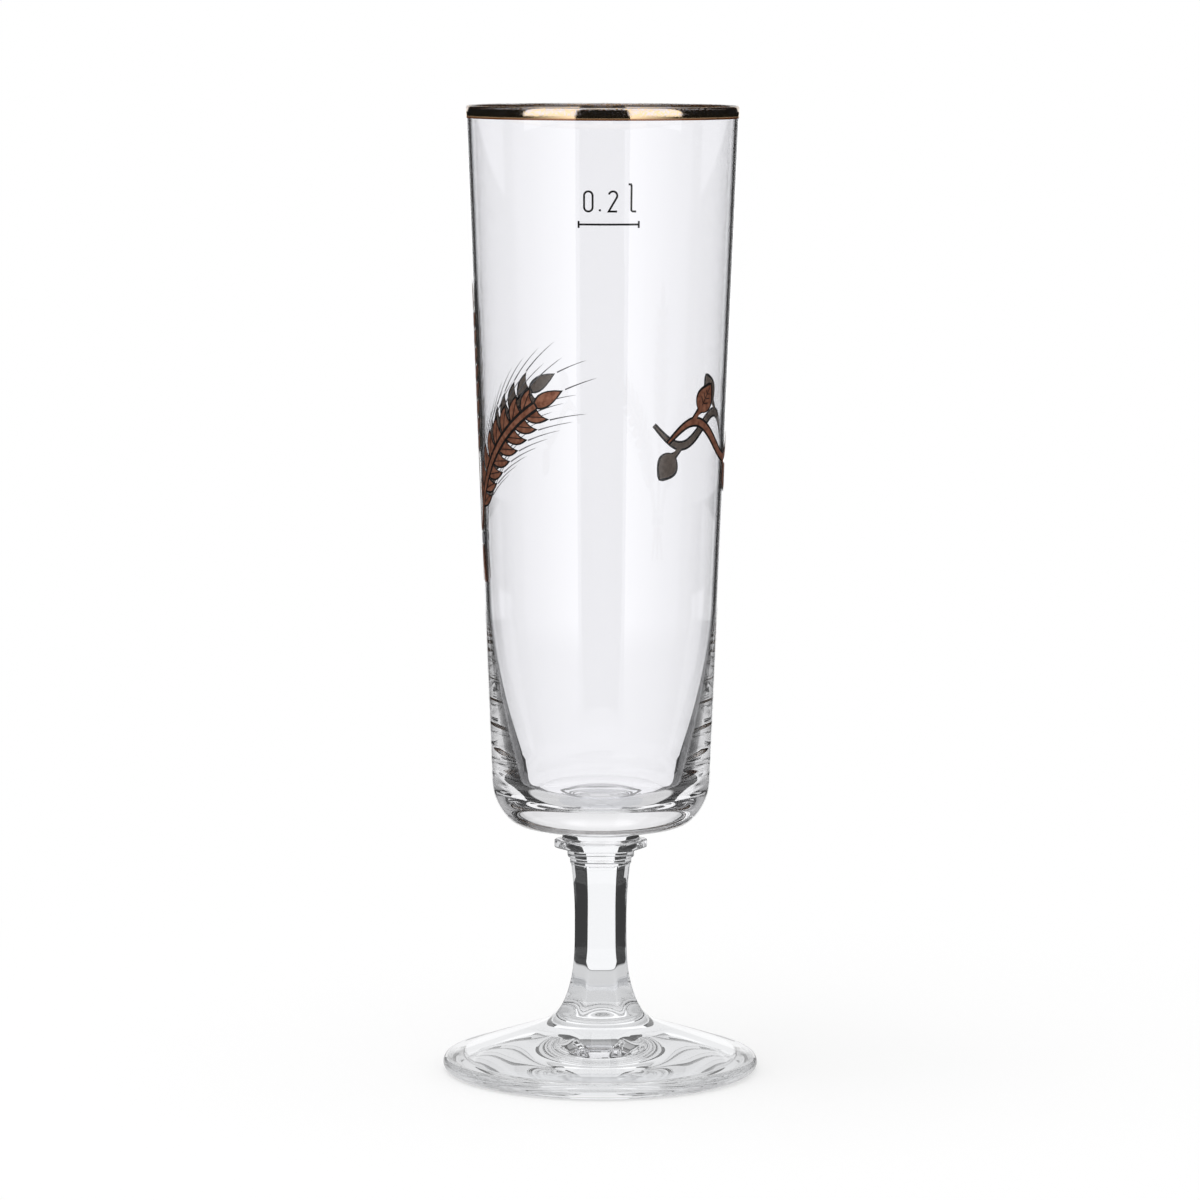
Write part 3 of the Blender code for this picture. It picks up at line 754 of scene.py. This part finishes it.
# Strengths and shares, where 1 is white or whole, sky angles in degrees above the table, and lengths in mm.
studio = {"ambient": 0.9, "gloom": 0.05, "mirrorGloom": 0.008, "sky": 0.45, "mirrorSky": 0.8, "skyFrom": 45,
          "skyTo": 65, "table": 0.70, "tableRadius": 63, "tableSoft": 0.04, "paperGlow": 0.55, "glowFrom": 70,
          "glowTo": 220, "floorRadius": 2500, "floorDrop": 0.2}


# How the ray came, whether through glass or off a mirror, and the gloom of the room that it then sees.
def gloomNodes(tree):
    path = addNode(tree, "ShaderNodeLightPath", {})
    inGlass = addNode(tree, "ShaderNodeMath", {"operation": "MAXIMUM"},
                      {0: path.outputs["Is Glossy Ray"], 1: path.outputs["Is Transmission Ray"]})
    gloom = addNode(tree, "ShaderNodeMapRange", {"To Min": studio["mirrorGloom"], "To Max": studio["gloom"]},
                    {"Value": path.outputs["Is Transmission Ray"]})
    return path, inGlass.outputs[0], gloom.outputs[0]


# The world: white where the camera looks past the glass and soft light on the prints. In the glass it is
# gloom with a pale sky above.
def makeWorld():
    world = bpy.data.worlds.new("studio")
    scene.world = world
    world.use_nodes = True
    tree = world.node_tree
    tree.nodes.clear()
    path, inGlass, below = gloomNodes(tree)
    way = addNode(tree, "ShaderNodeTexCoord", {}).outputs["Generated"]
    up = addNode(tree, "ShaderNodeSeparateXYZ", {}, {0: way}).outputs["Z"]
    above = addNode(tree, "ShaderNodeMapRange", {"To Min": studio["mirrorSky"], "To Max": studio["sky"]},
                    {"Value": path.outputs["Is Transmission Ray"]})
    room = addNode(tree, "ShaderNodeMapRange", {"From Min": math.sin(math.radians(studio["skyFrom"])),
                                                "From Max": math.sin(math.radians(studio["skyTo"]))},
                   {"Value": up, "To Min": below, "To Max": above.outputs[0]})
    level = addNode(tree, "ShaderNodeMapRange", {"To Min": studio["ambient"]},
                    {"Value": inGlass, "To Max": room.outputs[0]})
    seen = addNode(tree, "ShaderNodeMath", {"operation": "MAXIMUM"},
                   {0: path.outputs["Is Camera Ray"], 1: level.outputs[0]})
    light = addNode(tree, "ShaderNodeBackground", {"Color": fromHex("#FFFFFF")},
                    {"Strength": seen.outputs[0]})
    addNode(tree, "ShaderNodeOutputWorld", {}, {"Surface": light.outputs[0]})


# Matt white paper: white and shadowed to the camera, a pale grey disc round the foot in the glass.
def floorPaper():
    material, tree = emptyMaterial("matt white paper")
    inGlass, beyond = gloomNodes(tree)[1:]
    place = addNode(tree, "ShaderNodeTexCoord", {}).outputs["Object"]
    far = addNode(tree, "ShaderNodeVectorMath", {"operation": "LENGTH"}, {0: place}).outputs["Value"]
    fade = addNode(tree, "ShaderNodeMapRange", {"From Min": studio["glowFrom"] * mm,
                                                "From Max": studio["glowTo"] * mm,
                                                "To Min": studio["paperGlow"]}, {"Value": far})
    paper = addNode(tree, "ShaderNodeBsdfDiffuse", {"Color": fromHex("#FAFAFA")})
    white = addNode(tree, "ShaderNodeEmission", {"Strength": 1.0})
    shown = addNode(tree, "ShaderNodeMixShader", {},
                    {0: fade.outputs[0], 1: paper.outputs[0], 2: white.outputs[0]})
    edge, soft = studio["tableRadius"] * mm, studio["tableSoft"]
    level = addNode(tree, "ShaderNodeMapRange", {"From Min": (1 - soft) * edge, "From Max": (1 + soft) * edge,
                                                 "To Min": studio["table"]}, {"Value": far, "To Max": beyond})
    disc = addNode(tree, "ShaderNodeEmission", {}, {"Strength": level.outputs[0]})
    final = addNode(tree, "ShaderNodeMixShader", {}, {0: inGlass, 1: shown.outputs[0], 2: disc.outputs[0]})
    addNode(tree, "ShaderNodeOutputMaterial", {}, {"Surface": final.outputs[0]})
    return material


def makeFloor():
    mesh = bmesh.new()
    bmesh.ops.create_circle(mesh, cap_ends=True, segments=96, radius=studio["floorRadius"] * mm)
    floor = finishPiece("floor", mesh, [floorPaper()])
    floor.location.z = -studio["floorDrop"] * mm


# The lights and the card turn about the glass with the camera, and stay upright.
def makeTurntable():
    table = bpy.data.objects.new("studioTurntable", None)
    scene.collection.objects.link(table)
    track = table.constraints.new("LOCKED_TRACK")
    track.target = camera
    track.track_axis = "TRACK_NEGATIVE_Y"
    track.lock_axis = "LOCK_Z"
    return table


# A lit panel that shows only in glass, gold and the sheen of the enamel. Its light follows the angle round
# the glass, from near to far; it can rise from dark at the table over a height, and fade to another light at
# its top: (from, to, light).
def litPanel(name, mesh, table, angles, lights, rise=0, top=None):
    material, tree = emptyMaterial(name)
    place = addNode(tree, "ShaderNodeTexCoord", {}).outputs["Object"]
    spot = addNode(tree, "ShaderNodeSeparateXYZ", {}, {0: place})
    side = addNode(tree, "ShaderNodeMath", {"operation": "ABSOLUTE"}, {0: spot.outputs["X"]})
    away = addNode(tree, "ShaderNodeMath", {"operation": "ABSOLUTE"}, {0: spot.outputs["Y"]})
    angle = addNode(tree, "ShaderNodeMath", {"operation": "ARCTAN2"},
                    {0: side.outputs[0], 1: away.outputs[0]})
    near, far = math.radians(angles[0]), math.radians(angles[1])
    light = addNode(tree, "ShaderNodeMapRange", {"From Min": near, "From Max": far, "To Min": lights[0],
                                                 "To Max": lights[1]}, {"Value": angle.outputs[0]})
    if rise:
        fade = addNode(tree, "ShaderNodeMapRange",
                       {"interpolation_type": "SMOOTHSTEP", "From Max": rise * mm},
                       {"Value": spot.outputs["Z"]})
        light = addNode(tree, "ShaderNodeMath", {"operation": "MULTIPLY"},
                        {0: light.outputs[0], 1: fade.outputs[0]})
    if top:
        fade = addNode(tree, "ShaderNodeMapRange", {"interpolation_type": "SMOOTHSTEP",
                                                    "From Min": top[0] * mm, "From Max": top[1] * mm},
                       {"Value": spot.outputs["Z"]})
        light = addNode(tree, "ShaderNodeMapRange", {"To Max": top[2]},
                        {"Value": fade.outputs[0], "To Min": light.outputs[0]})
    glow = addNode(tree, "ShaderNodeEmission", {}, {"Strength": light.outputs[0]})
    addNode(tree, "ShaderNodeOutputMaterial", {}, {"Surface": glow.outputs[0]})
    panel = finishPiece(name, mesh, [material])
    panel.visible_camera = False
    panel.visible_diffuse = False
    panel.visible_shadow = False
    panel.parent = table
    return panel


# An upright panel bent round the glass; the angles are counted from the camera's side.
def bentPanel(start, end, distance, low, high):
    mesh = bmesh.new()
    rows = []
    steps = 24
    for i in range(steps + 1):
        a = math.radians(start + (end - start) * i / steps)
        x, y = distance * mm * math.sin(a), -distance * mm * math.cos(a)
        rows.append((mesh.verts.new((x, y, low * mm)), mesh.verts.new((x, y, high * mm))))
    for one, two in zip(rows, rows[1:]):
        mesh.faces.new((one[0], two[0], two[1], one[1]))
    return mesh


# The card's light goes from the first to the second between the stripe angles, counted from its middle.
# Its sweep along the floor is given as (distance behind, half width).
card = {"half": 17.6, "distance": 1200, "fadeFrom": 181, "high": 235, "stripes": (4, 11),
        "lights": (1.02, 1.28), "sweep": ((63, 39), (100, 46), (128, 57), (185, 76), (600, 190), (1200, 380))}
backScreen = {"half": 24, "distance": 1210, "low": 198, "high": 1600, "light": 0.88}
sideScreen = {"near": 24, "far": 78, "distance": 1210, "low": 198, "high": 560, "lights": (0.86, 0.7)}
lowScreen = {"near": 40, "far": 68, "distance": 400, "low": 20, "high": 66, "lights": (0.75, 0.7)}


# The lit card behind the glass with its sweep along the floor, and screens above, beside and low round it.
def makeCard(table):
    mesh = bmesh.new()
    rows = []
    for back, half in card["sweep"]:
        rows.append([mesh.verts.new((side * half * mm, back * mm, 0)) for side in (-1, 1)])
    for one, two in zip(rows, rows[1:]):
        mesh.faces.new((one[0], one[1], two[1], two[0]))
    c, b = card, backScreen
    middle = c["lights"][0]
    litPanel("litSweep", mesh, table, c["stripes"], (middle, middle))
    mesh = bentPanel(180 - c["half"], 180 + c["half"], c["distance"], 0, c["high"])
    litPanel("litCard", mesh, table, c["stripes"], c["lights"], 0, (c["fadeFrom"], c["high"], b["light"]))
    mesh = bentPanel(180 - b["half"], 180 + b["half"], b["distance"], b["low"], b["high"])
    litPanel("backScreen", mesh, table, (0, 90), (b["light"], b["light"]))
    for name, s, side in (("sideScreenLeft", sideScreen, -1), ("sideScreenRight", sideScreen, 1),
                          ("lowScreenLeft", lowScreen, -1), ("lowScreenRight", lowScreen, 1)):
        mesh = bentPanel(180 + side * s["near"], 180 + side * s["far"], s["distance"], s["low"], s["high"])
        screen = litPanel(name, mesh, table, (s["near"], s["far"]), s["lights"])
        screen.visible_glossy = False


softbox = {"near": 22, "far": 62, "distance": 260, "high": 174, "lights": (1.25, 0)}
rimLight = {"near": 21, "far": 66, "distance": 260, "low": 174, "high": 650, "light": 1.25}
roomLight = {"near": 22, "far": 92, "distance": 240, "high": 235, "lights": (0.9, 0.3)}
farLight = {"half": 26, "distance": 2000, "low": 325, "high": 950, "light": 0.95}
panelRise = 60  # the softboxes and the room fade towards the table over this height


# On each side of the camera a softbox for what the faces mirror, a rim light above it for the gold, and the
# lit room that shows through the glass; far behind the camera a pale wall.
def makeSideLights(table):
    for name, side in (("Left", -1), ("Right", 1)):
        s, r, m = softbox, rimLight, roomLight
        mesh = bentPanel(side * s["near"], side * s["far"], s["distance"], 0, s["high"])
        panel = litPanel("softbox" + name, mesh, table, (s["near"], s["far"]), s["lights"], panelRise)
        panel.visible_transmission = False
        mesh = bentPanel(side * r["near"], side * r["far"], r["distance"], r["low"], r["high"])
        panel = litPanel("rimLight" + name, mesh, table, (0, 90), (r["light"], r["light"]))
        panel.visible_transmission = side < 0  # only the left one shows through the glass
        mesh = bentPanel(side * m["near"], side * m["far"], m["distance"], 0, m["high"])
        panel = litPanel("room" + name, mesh, table, (m["near"], m["far"]), m["lights"], panelRise)
        panel.visible_glossy = False
    f = farLight
    mesh = bentPanel(-f["half"], f["half"], f["distance"], f["low"], f["high"])
    panel = litPanel("farLight", mesh, table, (0, 90), (f["light"], f["light"]))
    panel.visible_glossy = False


topLight = {"size": 0.9, "power": 3, "place": (-0.3, -0.2, 1.1), "aim": (0, 0, 0.1)}  # metres and watts


# A soft lamp from above for the prints and the shadow; glass and gold don't show it.
def makeTopLight(table):
    data = bpy.data.lights.new("topLight", "AREA")
    data.size = topLight["size"]
    data.energy = topLight["power"]
    lamp = bpy.data.objects.new("topLight", data)
    scene.collection.objects.link(lamp)
    lamp.location = topLight["place"]
    lamp.rotation_euler = (Vector(topLight["aim"]) - lamp.location).to_track_quat("-Z", "Y").to_euler()
    lamp.visible_glossy = False
    lamp.visible_transmission = False
    lamp.parent = table


makeWorld()
makeFloor()
turntable = makeTurntable()
makeCard(turntable)
makeSideLights(turntable)
makeTopLight(turntable)
print("studio made")
